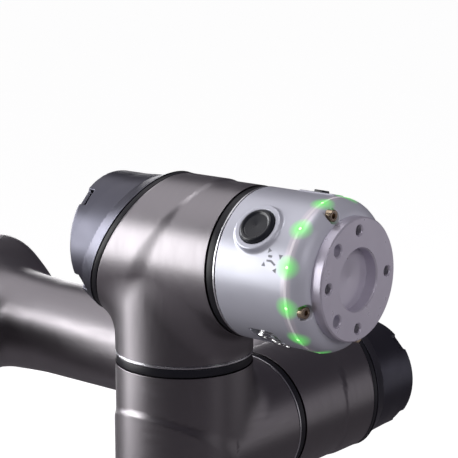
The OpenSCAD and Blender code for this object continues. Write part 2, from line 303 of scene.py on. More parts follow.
# ---------- meshes from profiles ----------


def soften(outline, bevel, steps=3):
    """Closed outline with each corner replaced by a short arc"""
    points = [np.array(p, float) for p in outline]
    made = []
    for i, p in enumerate(points):
        before, after = points[i - 1] - p, points[(i + 1) % len(points)] - p
        la, lb = np.linalg.norm(before), np.linalg.norm(after)
        reach = min(bevel, 0.45 * la, 0.45 * lb)
        a, b = p + before / la * reach, p + after / lb * reach
        for k in range(steps + 1):
            t = k / steps
            made.append((1 - t) ** 2 * a + 2 * t * (1 - t) * p + t * t * b)
    return made


def lathe(outline, count=160, slope=0.0, bevel=0.3, shape=None):
    """Solid of revolution of a closed (radius, height) outline, sheared along X by slope"""
    profile = soften(outline, bevel)
    verts, faces = [], []
    turns = [math.tau * i / count for i in range(count)]
    for turn in turns:
        for r, z in profile:
            if shape:
                r = shape(r, z, turn)
            x, y = r * math.cos(turn), r * math.sin(turn)
            verts.append((x, y, z + slope * x))
    n = len(profile)
    for i in range(count):
        for k in range(n):
            a, b = i * n + k, i * n + (k + 1) % n
            c, d = ((i + 1) % count) * n + (k + 1) % n, ((i + 1) % count) * n + k
            faces.append((a, d, c, b))
    return verts, faces, None


def knob(outline, count=96, bevel=0.3, shape=None):
    """Solid of revolution of an open outline that starts and ends on the axis"""
    inner = soften(outline[1:-1] and outline, bevel)
    inner = [p for p in inner if p[0] > 1e-3]
    verts, faces = [], []
    n = len(inner)
    for i in range(count):
        turn = math.tau * i / count
        for r, z in inner:
            if shape:
                r = shape(r, z, turn)
            verts.append((r * math.cos(turn), r * math.sin(turn), z))
    for i in range(count):
        j = (i + 1) % count
        for k in range(n - 1):
            faces.append((i * n + k, j * n + k, j * n + k + 1, i * n + k + 1))
    first, last = len(verts), len(verts) + 1
    verts += [(0, 0, inner[0][1]), (0, 0, inner[-1][1])]
    for i in range(count):
        j = (i + 1) % count
        faces.append((first, j * n, i * n))
        faces.append((last, i * n + n - 1, j * n + n - 1))
    return verts, faces, None


def slab(half, z0, z1, bevel, corner=2.0, steps=5):
    """Rounded plate: an outline with round corners, bevelled along its top and bottom"""
    hx, hy = half
    verts, faces = [], []
    rows = []
    for k in range(steps + 1):
        turn = math.pi / 2 * k / steps
        rows.append((z0 + bevel * (1 - math.sin(turn)), bevel * (1 - math.cos(turn))))
    rows = [(z, d) for z, d in reversed(rows)] + [(z1 + z0 - z, d) for z, d in rows]
    outline = []
    for cx, cy, start in ((1, 1, 0), (-1, 1, 90), (-1, -1, 180), (1, -1, 270)):
        for k in range(7):
            turn = math.radians(start + 15 * k)
            outline.append((cx, cy, math.cos(turn), math.sin(turn)))
    n = len(outline)
    for z, d in rows:
        for cx, cy, ax, ay in outline:
            r = max(corner - d, 0.05)
            verts.append((cx * (hx - corner) + ax * r, cy * (hy - corner) + ay * r, z))
    for row in range(len(rows) - 1):
        for i in range(n):
            j = (i + 1) % n
            faces.append((row * n + i, row * n + j, (row + 1) * n + j, (row + 1) * n + i))
    faces.append(tuple(reversed(range(n))))
    faces.append(tuple(range((len(rows) - 1) * n, len(rows) * n)))
    return verts, faces, None


def moved(shape, matrix):
    """A shape's vertices carried by a matrix"""
    verts, faces, normals = shape
    return [matrix @ Vector(v) for v in verts], faces, None


def merged(*shapes):
    verts, faces = [], []
    for shape in shapes:
        start = len(verts)
        verts += list(shape[0])
        faces += [tuple(i + start for i in f) for f in shape[1]]
    return verts, faces, None


# ---------- materials ----------

NOISE_DETAIL = 6


class Paint:
    """A principled material whose colour, roughness and relief are driven by noise"""

    def __init__(self, name, roughness, **plain):
        self.material = bpy.data.materials.new(name)
        self.material.use_nodes = True
        self.nodes = self.material.node_tree.nodes
        self.links = self.material.node_tree.links
        self.shader = self.nodes["Principled BSDF"]
        self.place = self.nodes.new("ShaderNodeTexCoord").outputs["Object"]
        split = self.nodes.new("ShaderNodeSeparateXYZ")
        self.links.new(self.place, split.inputs[0])
        self.axes = split.outputs
        self.roughness = roughness
        for socket, value in plain.items():
            self.shader.inputs[socket.replace("_", " ")].default_value = value

    def noise(self, scale, stretch=(1, 1, 1), detail=NOISE_DETAIL, seed=0.0):
        mapping = self.nodes.new("ShaderNodeMapping")
        mapping.inputs["Scale"].default_value = stretch
        mapping.inputs["Location"].default_value = (seed, 1.7 * seed, 0.6 * seed)
        noise = self.nodes.new("ShaderNodeTexNoise")
        noise.inputs["Scale"].default_value = scale
        noise.inputs["Detail"].default_value = detail
        self.links.new(self.place, mapping.inputs["Vector"])
        self.links.new(mapping.outputs["Vector"], noise.inputs["Vector"])
        return noise.outputs["Fac"]

    def math(self, operation, a, b=None, c=None):
        node = self.nodes.new("ShaderNodeMath")
        node.operation = operation
        for i, value in enumerate((a, b, c)):
            if value is None:
                continue
            if isinstance(value, (int, float)):
                node.inputs[i].default_value = value
            else:
                self.links.new(value, node.inputs[i])
        return node.outputs[0]

    def remap(self, fac, low, high, lo_in=0.3, hi_in=0.7):
        node = self.nodes.new("ShaderNodeMapRange")
        node.inputs["From Min"].default_value = lo_in
        node.inputs["From Max"].default_value = hi_in
        node.inputs["To Min"].default_value = low
        node.inputs["To Max"].default_value = high
        self.links.new(fac, node.inputs["Value"])
        return node.outputs["Result"]

    def mix(self, fac, a, b):
        node = self.nodes.new("ShaderNodeMix")
        node.data_type = "RGBA"
        self.links.new(fac, node.inputs["Factor"])
        for name, colour in (("A", a), ("B", b)):
            socket = [s for s in node.inputs if s.name == name and s.type == "RGBA"][0]
            if isinstance(colour, tuple):
                socket.default_value = (*colour, 1)
            else:
                self.links.new(colour, socket)
        return [s for s in node.outputs if s.type == "RGBA"][0]

    def colours(self, dark, light, scale, **noise):
        self.links.new(self.mix(self.noise(scale, **noise), dark, light), self.shader.inputs["Base Color"])
        return self

    def rough(self, scale, spread, **noise):
        value = self.remap(self.noise(scale, **noise), self.roughness - spread, self.roughness + spread)
        self.links.new(value, self.shader.inputs["Roughness"])
        return self

    def relief(self, scale, depth, **noise):
        """Bump of a height in millimetres"""
        bump = self.nodes.new("ShaderNodeBump")
        bump.inputs["Distance"].default_value = depth * MM
        bump.inputs["Strength"].default_value = 1
        self.links.new(self.noise(scale, **noise), bump.inputs["Height"])
        self.links.new(bump.outputs["Normal"], self.shader.inputs["Normal"])
        return self


def cast_metal():
    """Anodised cast aluminium: warm grey, satin, with fine turning lines"""
    paint = Paint("cast_metal", 0.36, Metallic=1.0)
    paint.colours((0.29, 0.272, 0.29), (0.33, 0.312, 0.328), 22)
    paint.rough(60, 0.035, stretch=(1, 1, 9))
    return paint.relief(700, 0.012, stretch=(1, 1, 1)).material


def dark_shell():
    """Moulded caps: blue-grey satin"""
    paint = Paint("dark_shell", 0.38, Metallic=1.0)
    paint.colours((0.105, 0.105, 0.132), (0.122, 0.122, 0.150), 30)
    paint.rough(90, 0.04)
    return paint.relief(900, 0.01).material


def silver_paint():
    """Tool module: fine silver paint, lit green round each lamp"""
    paint = Paint("silver_paint", 0.36, Metallic=0.45)
    paint.colours((0.55, 0.56, 0.63), (0.59, 0.60, 0.67), 30)
    paint.rough(120, 0.03)
    paint.relief(1200, 0.006)
    across = paint.math("ABSOLUTE", paint.math("ADD", paint.axes[2], -LAMP_Z * MM))
    veil = paint.remap(across, 0.55, 0.0, 2.2 * MM, 3.4 * MM)
    base = paint.shader.inputs["Base Color"]
    paint.links.new(paint.mix(veil, base.links[0].from_socket, (0.76, 0.70, 0.76)), base)
    lamp_glow(paint, 0.6)
    return paint.material


def black_rubber():
    paint = Paint("black_seal_rubber", 0.38, Specular_IOR_Level=0.3)
    paint.colours((0.006, 0.006, 0.009), (0.014, 0.014, 0.018), 40)
    paint.rough(150, 0.04)
    return paint.relief(800, 0.006).material


def bright_metal(name="bright_lip_metal", tone=(0.82, 0.82, 0.85), roughness=0.28):
    paint = Paint(name, roughness, Metallic=1.0)
    dark = tuple(0.88 * c for c in tone)
    paint.colours(dark, tone, 60)
    paint.rough(200, 0.03, stretch=(1, 1, 12))
    return paint.relief(1500, 0.004).material


def anodised():
    """Tool flange: pale mauve-grey turned aluminium"""
    paint = Paint("flange_anodised", 0.30, Metallic=0.6)
    paint.colours((0.56, 0.53, 0.62), (0.60, 0.57, 0.66), 50)
    return paint.rough(160, 0.03).material


def plastic(name, dark, light, roughness):
    paint = Paint(name, roughness)
    paint.colours(dark, light, 60)
    paint.rough(150, 0.04)
    return paint.relief(900, 0.008).material


def lamp_glow(paint, strength):
    """Green light on the surface round each lamp of the ring, by distance from the nearest lamp"""
    x, y, z = paint.axes
    turn = paint.math("ARCTAN2", y, x)
    pitch = math.tau / LAMPS
    shifted = paint.math("ADD", turn, -LAMP_TURN + pitch / 2 + math.tau)
    within = paint.math("ADD", paint.math("MODULO", shifted, pitch), -pitch / 2)
    along = paint.math("MULTIPLY", within, RADIUS[5] * MM)
    across = paint.math("ADD", z, -LAMP_Z * MM)
    squares = paint.math("ADD", paint.math("POWER", along, 2.0), paint.math("POWER", across, 2.0))
    distance = paint.math("SQRT", squares)
    reach = paint.remap(distance, 1.0, 0.0, 0.0, GLOW_R * MM)
    soft = paint.math("POWER", reach, 0.9)
    amount = paint.math("MULTIPLY", soft, strength)
    base = paint.shader.inputs["Base Color"]
    surface = base.links[0].from_socket
    paint.links.new(paint.mix(soft, surface, (0.18, 0.62, 0.18)), base)
    paint.shader.inputs["Emission Color"].default_value = (0.16, 1.0, 0.15, 1)
    paint.links.new(amount, paint.shader.inputs["Emission Strength"])


# ---------- pieces ----------


def piece(name, shape, place, body, material, replaces=(), smooth_angle=40):
    """Makes a mesh object in a joint's frame and lets it ride on a body"""
    verts, faces, normals = shape
    mesh = bpy.data.meshes.new(name)
    mesh.from_pydata([tuple(c * MM for c in v) for v in verts], [], [tuple(int(i) for i in f) for f in faces])
    mesh.validate()
    mesh.update()
    mesh.shade_smooth()
    if normals is not None and len(mesh.vertices) == len(normals):
        mesh.normals_split_custom_set_from_vertices([tuple(n) for n in normals])
    else:
        mesh.set_sharp_from_angle(angle=math.radians(smooth_angle))
    mesh.materials.append(material)
    obj = bpy.data.objects.new(name, mesh)
    bpy.context.scene.collection.objects.link(obj)
    matrix = place.copy()
    matrix.translation = place.translation * MM
    obj.matrix_world = matrix
    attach(obj, body)
    if replaces:
        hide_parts(*replaces)
    return obj


# ---------- links ----------

OVER = 6.0
CELL = 1.5
ARM_CELL = 2.0


def head(p, j):
    """Outside of a joint's head; its larger half stands proud of a slanted soft step"""
    x, z = p[:, 0], p[:, 2]
    slant = (STEP_Z + STEP_SLOPE * x - z) / math.hypot(1, STEP_SLOPE)
    soft = STEP_SOFT[0] + (STEP_SOFT[1] - STEP_SOFT[0]) * ramp(1 - x / RADIUS[j])
    radius = RADIUS[j] + STEP_H * ramp(slant / soft + 0.5)
    return tube(p, 2, radius, CAP_END[j] - 12, SEAL_LOW[j] + OVER)


def hollow(outer, cavity):
    return np.maximum(outer, -cavity)


def cap_plane(j, depth=0.0):
    """Point and normal of the slanted plane between housing and cap, a depth below it"""
    return (0, 0, CAP_Z[j] - depth), (CAP_SLOPE[j], 0, -1)


def short_link(j):
    """Shoulder and wrist housings: a head with a branch at right angles"""
    r = RADIUS[j - 1]

    def field(p):
        flare = STEP_H * ramp((p[:, 0] + BRANCH[j]) / (BRANCH[j] - 0.3 * r))
        outer = join(head(p, j), tube(p, 0, r + flare, -BRANCH[j] - OVER, 0), 16 * crossing(p))
        cavity = np.minimum(
            tube(p, 2, RADIUS[j] - WALL, CAP_END[j] - 20, SEAL_LOW[j] + 2 * OVER),
            tube(p, 0, r - WALL - 1, -BRANCH[j] - 2 * OVER, 0),
        )
        return hollow(outer, cavity)

    side = max(r, RADIUS[j]) + 4
    low = (-BRANCH[j] - 2, -side, CAP_Z[j] - CAP_SLOPE[j] * RADIUS[j] - 8)
    high = (RADIUS[j] + 4, side, SEAL_LOW[j] + 2)
    cuts = [((0, 0, SEAL_LOW[j]), (0, 0, 1)), ((-BRANCH[j], 0, 0), (-1, 0, 0)), cap_plane(j)]
    return solid(field, low, high, CELL, cuts)


def long_link(j, tube_r, length, far_end, corner, taper_l):
    """Upper arm and forearm: a bend, a tapered tube and the next joint's head"""
    bend_r = RADIUS[j - 1]
    bend_h = BRANCH[j]

    def field(p):
        along = np.clip((p[:, 0] + length) / taper_l, 0, 1)
        q = p + np.array((length, 0, 0))
        bend = tube(q, 2, bend_r, -far_end, bend_h + OVER + corner, corner)
        radius = tube_r + (far_end - 3 - tube_r) * (1 - along) ** 1.3
        pipe = tube(p, 0, radius, -length, 0)
        outer = join(bend, pipe, 22 * crossing(q))
        outer = join(outer, head(p, j), 16 * crossing(p))
        cavity = np.minimum(
            tube(p, 2, RADIUS[j] - WALL, CAP_END[j] - 20, SEAL_LOW[j] + 2 * OVER),
            np.minimum(
                tube(p, 0, tube_r - WALL, -length, 0),
                tube(q, 2, bend_r - WALL - 1, WALL - far_end, bend_h + 3 * OVER, corner - WALL),
            ),
        )
        return hollow(outer, cavity)

    side = max(bend_r, RADIUS[j]) + 5
    low = (-length - bend_r - 4, -side, -max(far_end, -CAP_Z[j] + CAP_SLOPE[j] * RADIUS[j]) - 8)
    high = (RADIUS[j] + 4, side, max(SEAL_LOW[j], bend_h) + 2)
    return field, low, high


def arm_shape(j, tube_r, length, far_end, corner, taper_l):
    """The two ends of an arm lie on different planes, so it is cut in two halves and joined again"""
    field, low, high = long_link(j, tube_r, length, far_end, corner, taper_l)
    verts, faces = net(field, low, high, ARM_CELL)
    bm = bmesh.new()
    layer = bm.verts.layers.float_vector.new("smooth")
    made = [bm.verts.new(v) for v in verts]
    for face in faces:
        bm.faces.new([made[i] for i in face])
    middle = -length / 2
    halves = []
    for sign in (1, -1):
        half = bm.copy()
        bmesh.ops.bisect_plane(
            half,
            geom=half.verts[:] + half.edges[:] + half.faces[:],
            dist=1e-4,
            plane_co=(middle, 0, 0),
            plane_no=(-sign, 0, 0),
            clear_outer=True,
        )
        half_layer = half.verts.layers.float_vector["smooth"]
        half.verts.index_update()
        if sign > 0:
            close_end(half, half_layer, field, (0, 0, SEAL_LOW[j]), (0, 0, 1), 0.5)
            close_end(half, half_layer, field, *cap_plane(j), 0.5)
        else:
            close_end(half, half_layer, field, (-length, 0, BRANCH[j]), (0, 0, 1), 0.5)
        halves.append(half)
    bm.free()
    whole = bmesh.new()
    layer = whole.verts.layers.float_vector.new("smooth")
    for half in halves:
        half_layer = half.verts.layers.float_vector["smooth"]
        new = {}
        for v in half.verts:
            new[v] = whole.verts.new(v.co)
            new[v][layer] = v[half_layer]
        for f in half.faces:
            whole.faces.new([new[v] for v in f.verts])
        half.free()
    seam = [v for v in whole.verts if abs(v.co.x - middle) < 1e-3]
    bmesh.ops.remove_doubles(whole, verts=seam, dist=1e-3)
    whole.verts.index_update()
    verts = np.array([v.co[:] for v in whole.verts])
    normals = np.array([v[layer][:] for v in whole.verts])
    plain = np.linalg.norm(normals, axis=1) < 0.5
    normals[plain] = slopes(field, verts[plain])
    faces = [[v.index for v in f.verts] for f in whole.faces]
    whole.free()
    return verts, faces, normals


NOTCH_TURNS = (44, 124, -44, -124)
NOTCH_HALF = 5.0
NOTCH_DEPTH = 2.0
CAP_CORNER = 1.8
BAND_W = 9.0
CAP_DRAFT = 0.9


def cap_shape(j):
    """Cap: flared band beside the gasket, slimmer body, rounded rim with shallow notches"""
    r = RADIUS[j]
    slim = r - CAP_SLIM
    end = CAP_END[j]
    tilt = math.hypot(1, CAP_SLOPE[j])
    end_w = (CAP_Z[j] - GASKET_W - end) / tilt

    def field(p):
        below = (CAP_Z[j] - GASKET_W + CAP_SLOPE[j] * p[:, 0] - p[:, 2]) / tilt
        draft = CAP_DRAFT * np.clip((below - BAND_W) / (end_w - BAND_W), 0, 1)
        radius = slim - draft + (r + STEP_H + BAND_PROUD - slim) * np.clip(1 - below / BAND_W, 0, 1)
        outer = tube(p, 2, radius, end, SEAL_LOW[j], CAP_CORNER)
        for turn in NOTCH_TURNS:
            a = math.radians(turn)
            side = np.array((-math.sin(a), math.cos(a), 0))
            out = np.array((math.cos(a), math.sin(a), 0))
            q = np.stack([p @ out, p @ side, p[:, 2]], 1)
            notch = block(q, (slim + 3 - CAP_DRAFT - NOTCH_DEPTH, 0, end), (3, NOTCH_HALF, 5.5), 0.6)
            outer = cut(outer, notch, 0.8)
        dish = tube(p, 2, slim - 9, end - 5, end + 0.8, 0.5)
        outer = cut(outer, dish, 0.6)
        cavity = tube(p, 2, slim - 3.2, end + 3.2, SEAL_LOW[j] + OVER)
        return hollow(outer, cavity)

    side = r + 3
    low = (-side, -side, end - 2)
    high = (side, side, CAP_Z[j] + CAP_SLOPE[j] * r + 4)
    return solid(field, low, high, 1.1 if j > 2 else 1.4, [(cap_plane(j, GASKET_W)[0], (-CAP_SLOPE[j], 0, 1))], 0.4)


def gasket_shape(j):
    """Slanted black band between housing and cap"""
    r = RADIUS[j]
    top = CAP_Z[j] - 0.02
    low = CAP_Z[j] - GASKET_W + 0.02
    out = r + STEP_H + GASKET_PROUD
    return lathe([(out, low), (out, top), (r - WALL, top), (r - WALL, low)], slope=CAP_SLOPE[j], bevel=0.35)


def seal_shape(j):
    """Black ring between two links"""
    r, z = RADIUS[j], SEAL_LOW[j]
    w = SEAL_W - 0.3
    out = r - 0.6
    return lathe([(out, z + 0.1), (out, z + w), (r - 6, z + w), (r - 6, z + 0.1)], bevel=0.6)


def lip_shape(j):
    """Output flange: bright bead beside the seal, hub, bearing race and cable bore"""
    r, z = RADIUS[j], SEAL_LOW[j]
    bead, top = z + SEAL_W, z + SEAL_W + LIP_W
    race, bore = 0.66 * r, 0.25 * r
    deep = 0.25 * r
    outline = [
        (r, bead),
        (r, top - 0.35),
        (r - 0.7, top - 0.35),
        (r - 0.7, top),
        (bore, top),
        (bore, z - deep),
        (race, z - deep),
        (race, z - 2),
        (r - 7, z - 2),
        (r - 7, bead),
    ]
    return lathe(outline, bevel=0.28)


# ---------- base ----------


def base_shape():
    """Foot: bolted flange, column with a soft step, inlet boss"""
    flange_r = span("base_housing")[1].y
    r = RADIUS[0]
    flange_t, hole_r, hole_circle, step_top = 12, 4.5, 68, SEAL_LOW[0] - 22
    boss_x = span("base_connector")[1].x

    def field(p):
        flange = tube(p, 2, flange_r, 0, flange_t, 1.5)
        radius = r + STEP_H * ramp((step_top - p[:, 2]) / 2.5 + 0.5)
        column = tube(p, 2, radius, flange_t - 2, SEAL_LOW[0] + OVER)
        outer = join(flange, column, 9)
        pocket = block(p, (boss_x + 7, 0, 27), (7, 24, 26.9), 3)
        outer = np.maximum(join(outer, pocket, 5), 0.05 - p[:, 2])
        for k in range(4):
            a = math.radians(45 + 90 * k)
            q = p - np.array((hole_circle * math.cos(a), hole_circle * math.sin(a), 0))
            outer = cut(outer, tube(q, 2, hole_r, -5, flange_t + 8), 0.8)
            outer = cut(outer, tube(q, 2, hole_r + 3.6, flange_t - 2, flange_t + 30, 0.4), 0.8)
        cavity = tube(p, 2, r - WALL, 5, SEAL_LOW[0] + 2 * OVER)
        inlet = tube(p - np.array((0, 0, 32)), 0, 12, -r - 30, -r + 12)
        return np.maximum(np.maximum(outer, -cavity), -inlet)

    side = flange_r + 2
    return solid(
        field, (-side, -side, -2), (side, side, SEAL_LOW[0] + 2), 1.6, [((0, 0, SEAL_LOW[0]), (0, 0, 1))]
    )


def inlet_shape():
    """Square plate with a round threaded socket and its pins"""
    plate = slab((18, 18), 0, 3, 0.6, 4)
    outline = [(13, 2.5)]
    for k in range(5):
        outline += [(13, 5 + 2 * k), (12.5, 5.6 + 2 * k), (12.5, 6.2 + 2 * k), (13, 6.8 + 2 * k)]
    outline += [(13, 15), (10, 15), (10, 2.5)]
    socket = lathe(outline, 96, bevel=0.25)
    face = knob([(0, 3.2), (9.9, 3.2), (9.9, 4.5), (0, 4.5)], 64)
    pins = []
    for k in range(6):
        a = math.tau * k / 6
        pin = knob([(0, 4), (1.1, 4), (1.1, 11), (0, 12)], 20, 0.5)
        pins.append(moved(pin, Matrix.Translation((5.6 * math.cos(a), 5.6 * math.sin(a), 0))))
    bolts = []
    for sx in (-1, 1):
        for sy in (-1, 1):
            bolt = screw_shape(2.6, 2.2, 1.2)
            bolts.append(moved(bolt, Matrix.Translation((sx * 14, sy * 14, 3))))
    return merged(plate, socket, face, *pins, *bolts)


def hexagon(across):
    """Turns a circle of that radius into a hexagon for sockets"""

    def shape(r, z, turn):
        if abs(r - across) > 1e-6:
            return r
        within = (turn % (math.pi / 3)) - math.pi / 6
        return across * math.cos(math.pi / 6) / math.cos(within)

    return shape


def screw_shape(head_r, head_h, socket_r):
    """Socket-head screw from its seat up; the hexagon is cut into the head"""
    deep = 0.65 * head_h
    outline = [
        (0, 0),
        (head_r, 0),
        (head_r, head_h),
        (socket_r + 0.35, head_h),
        (socket_r, head_h - 0.35),
        (socket_r, head_h - deep),
        (0, head_h - deep),
    ]
    return knob_plain(outline, 48, hexagon(socket_r), 0.35)


def knob_plain(outline, count, shape=None, rim=0.0):
    """Like knob, but only the outer rim is softened, so that a socket keeps its edges"""
    points = []
    for i, (r, z) in enumerate(outline):
        if i == 2 and rim:
            for k in range(4):
                a = math.pi / 2 * k / 3
                points.append((r - rim + rim * math.cos(a), z - rim + rim * math.sin(a)))
        elif r > 1e-3:
            points.append((r, z))
    verts, faces = [], []
    n = len(points)
    for i in range(count):
        turn = math.tau * i / count
        for r, z in points:
            rr = shape(r, z, turn) if shape else r
            verts.append((rr * math.cos(turn), rr * math.sin(turn), z))
    for i in range(count):
        j = (i + 1) % count
        for k in range(n - 1):
            faces.append((i * n + k, j * n + k, j * n + k + 1, i * n + k + 1))
    verts += [(0, 0, points[0][1]), (0, 0, points[-1][1])]
    first, last = len(verts) - 2, len(verts) - 1
    for i in range(count):
        j = (i + 1) % count
        faces.append((first, j * n, i * n))
        faces.append((last, i * n + n - 1, j * n + n - 1))
    return verts, faces, None


# ---------- tool module ----------

TOOL_R = RADIUS[5]
TOOL_BACK = LIP_TOP[5]
FLANGE_TOP = ends(5, "tool_flange")[1]
TOOL_FRONT = ends(5, "tool_housing")[1]
FLANGE_R = (span("tool_flange")[1].z - span("tool_flange")[0].z) / 2
SHOULDER_R = 10.0
LAMPS = 12
LAMP_Z = (ends(5, "light_ring")[0] + ends(5, "light_ring")[1]) / 2
LAMP_TURN = math.radians(14)
RING_W = 1.6
GLOW_R = 6.6
BUTTON_Z, BUTTON_TURN, BUTTON_R = 74.6, 49, 9.5
BEZEL_R = 13.0
POINT_Z, POINT_TURN = 84.0, -14
PLUG_Z, PLUG_TURN = 76.0, 153
SCREW_CIRCLE, SCREW_TURN, SCREW_SEAT = 35.0, 19, 4.8


def on_barrel(z, turn):
    """Frame on the tool module's barrel: Z outwards, X backwards along the tool axis"""
    return Matrix.Rotation(math.radians(turn), 4, "Z") @ Matrix.Translation((0, 0, z)) @ Matrix.Rotation(math.pi / 2, 4, "Y")


def seen_from(p, matrix):
    """Points in the frame that a matrix sets up"""
    inverse = np.array(matrix.inverted())
    return p @ inverse[:3, :3].T + inverse[:3, 3]


def tool_shape():
    """Tool module: barrel with a soft shoulder, bezel, holes and recesses"""
    barrel_low = TOOL_BACK - OVER - SHOULDER_R
    button, point, plug = on_barrel(BUTTON_Z, BUTTON_TURN), on_barrel(POINT_Z, POINT_TURN), on_barrel(PLUG_Z, PLUG_TURN)

    def field(p):
        outer = tube(p, 2, TOOL_R, barrel_low, TOOL_FRONT, SHOULDER_R)
        q = seen_from(p, button)
        bezel = tube(q, 2, BEZEL_R, 0, TOOL_R + 1.4, 1.0)
        outer = join(outer, bezel, 1.6)
        outer = cut(outer, tube(q, 2, BUTTON_R + 0.3, TOOL_R - 12, TOOL_R + 9), 0.7)
        q = seen_from(p, point)
        outer = join(outer, block(q, (0, 0, TOOL_R - 4.4), (11, 5, 5), 1.0), 1.0)
        outer = cut(outer, block(q, (0, 0, TOOL_R), (3.3, 3.3, 9), 0.3), 0.4)
        q = seen_from(p, plug)
        outer = cut(outer, block(q, (0, 0, TOOL_R + 3.5), (8, 14, 10), 1.5), 0.8)
        for k in range(4):
            a = math.radians(SCREW_TURN + 90 * k)
            q = p - np.array((SCREW_CIRCLE * math.cos(a), SCREW_CIRCLE * math.sin(a), 0))
            outer = cut(outer, tube(q, 2, 4.0, TOOL_FRONT - SCREW_SEAT, TOOL_FRONT + 9), 0.5)
        outer = cut(outer, tube(p, 2, 18.1, TOOL_FRONT - 3, TOOL_FRONT + 9), 0.3)
        cavity = tube(p, 2, TOOL_R - WALL, TOOL_BACK - 30, TOOL_FRONT - 13)
        return hollow(outer, cavity)

    side = TOOL_R + 4
    cell = 0.8
    return solid(
        field, (-side, -side, TOOL_BACK - 2), (side, side, TOOL_FRONT + 2), cell, [((0, 0, TOOL_BACK), (0, 0, -1))], 0.4
    )


def holed_plate(radius, holes, low, high, chamfer):
    """Round plate with round holes (x, y, radius, points); its top edges are chamfered"""
    bm = bmesh.new()
    tops, bottoms = [], []
    for x, y, r, count, side in [(0, 0, radius, 240, -1)] + [(*hole, 1) for hole in holes]:
        rings = []
        for grow, z in ((side * chamfer, high), (0, high - chamfer), (0, low)):
            turns = [math.tau * i / count for i in range(count)]
            rings.append([bm.verts.new((x + (r + grow) * math.cos(a), y + (r + grow) * math.sin(a), z)) for a in turns])
        for upper, lower in zip(rings, rings[1:]):
            for i in range(count):
                k = (i + 1) % count
                quad = (upper[i], lower[i], lower[k], upper[k])
                bm.faces.new(quad if side < 0 else quad[::-1])
        tops.append(rings[0])
        bottoms.append(rings[-1])
    for loops, normal in ((tops, Z), (bottoms, -Z)):
        edges = [bm.edges.get((ring[i - 1], ring[i])) for ring in loops for i in range(len(ring))]
        filled = bmesh.ops.triangle_fill(bm, edges=edges, use_beauty=True, normal=normal)
        for f in filled["geom"]:
            if isinstance(f, bmesh.types.BMFace) and f.normal.dot(normal) < 0:
                f.normal_flip()
    bm.verts.index_update()
    verts = [v.co[:] for v in bm.verts]
    faces = [tuple(v.index for v in f.verts) for f in bm.faces]
    bm.free()
    return verts, faces, None


def flange_shape():
    """Tool flange with its centring bore, four threaded holes and two dowel holes"""
    bore_r, bore_floor = 31.5 / 2, FLANGE_TOP - 6.5
    holes = [(0, 0, bore_r, 160)]
    for turn, r in [(0, 2.5), (90, 2.5), (180, 2.5), (270, 2.5), (45, 3.0), (135, 3.0)]:
        a = math.radians(turn)
        holes.append((25 * math.cos(a), 25 * math.sin(a), r, 40))
    plate = holed_plate(FLANGE_R, holes, TOOL_FRONT, FLANGE_TOP, 0.7)
    low = TOOL_FRONT - 2.9
    floor = [(0, low), (17.9, low), (17.9, TOOL_FRONT), (bore_r, TOOL_FRONT), (bore_r, bore_floor), (0, bore_floor)]
    return merged(plate, knob(floor, 160, 0.2))


def thread_shape(r, z0, z1):
    """Sleeve whose inside is ribbed like a thread"""
    outline = [(r + 0.15, z1), (r + 0.15, z0), (r - 0.05, z0)]
    turns = int((z1 - z0) / 0.8)
    for k in range(turns):
        z = z0 + (z1 - z0) * (k + 0.25) / turns
        outline += [(r - 0.35, z), (r - 0.05, z + 0.4)]
    outline += [(r - 0.05, z1)]
    return lathe(outline, 40, bevel=0.08)


def ring_shape():
    """Light guide flush with the barrel"""
    out, low, high = TOOL_R + 0.05, LAMP_Z - RING_W / 2, LAMP_Z + RING_W / 2
    return lathe([(out, low), (out, high), (out - 1.4, high), (out - 1.4, low)], 240, bevel=0.04)


def lamp_shapes():
    """Twelve domed lamp lenses on the ring"""
    lenses = []
    for k in range(LAMPS):
        lens = knob([(0, TOOL_R - 0.8), (0.85, TOOL_R - 0.8), (0.85, TOOL_R + 0.08), (0, TOOL_R + 0.2)], 24, 0.15)
        lenses.append(moved(lens, on_barrel(LAMP_Z, math.degrees(LAMP_TURN) + 360 / LAMPS * k)))
    return merged(*lenses)


def button_shape():
    """Push button: round rim, dished top"""
    top = TOOL_R + 3.2
    outline = [
        (0, TOOL_R - 8),
        (BUTTON_R, TOOL_R - 8),
        (BUTTON_R, top - 1.2),
        (BUTTON_R - 1.1, top),
        (BUTTON_R - 2.0, top),
        (BUTTON_R - 2.9, top - 0.8),
        (0, top - 1.0),
    ]
    return knob(outline, 96, 0.5)


def plug_shape():
    """Two round sockets on a plate at the bottom of the recess"""
    base = TOOL_R - 6.5
    plate = slab((7.5, 13.5), 0, 1.5, 0.3, 1.5)
    parts = [plate]
    for side in (-1, 1):
        outline = [(5.6, 1)]
        for k in range(3):
            outline += [(5.6, 2.2 + k), (5.3, 2.5 + k), (5.3, 2.8 + k), (5.6, 3.0 + k)]
        outline += [(5.6, 6), (4.2, 6), (4.2, 1)]
        socket = lathe(outline, 64, bevel=0.15)
        face = knob([(0, 1.2), (4.15, 1.2), (4.15, 2.2), (0, 2.2)], 48, 0.1)
        parts += [moved(s, Matrix.Translation((0, side * 6.7, 0))) for s in (socket, face)]
        for k in range(8):
            a = math.tau * k / 8
            r = 0 if k == 0 else 2.4
            pin = knob([(0, 1.8), (0.45, 1.8), (0.45, 4.4), (0, 4.8)], 12, 0.15)
            parts.append(moved(pin, Matrix.Translation((r * math.cos(a), side * 6.7 + r * math.sin(a), 0))))
    return moved(merged(*parts), Matrix.Translation((0, 0, base)))


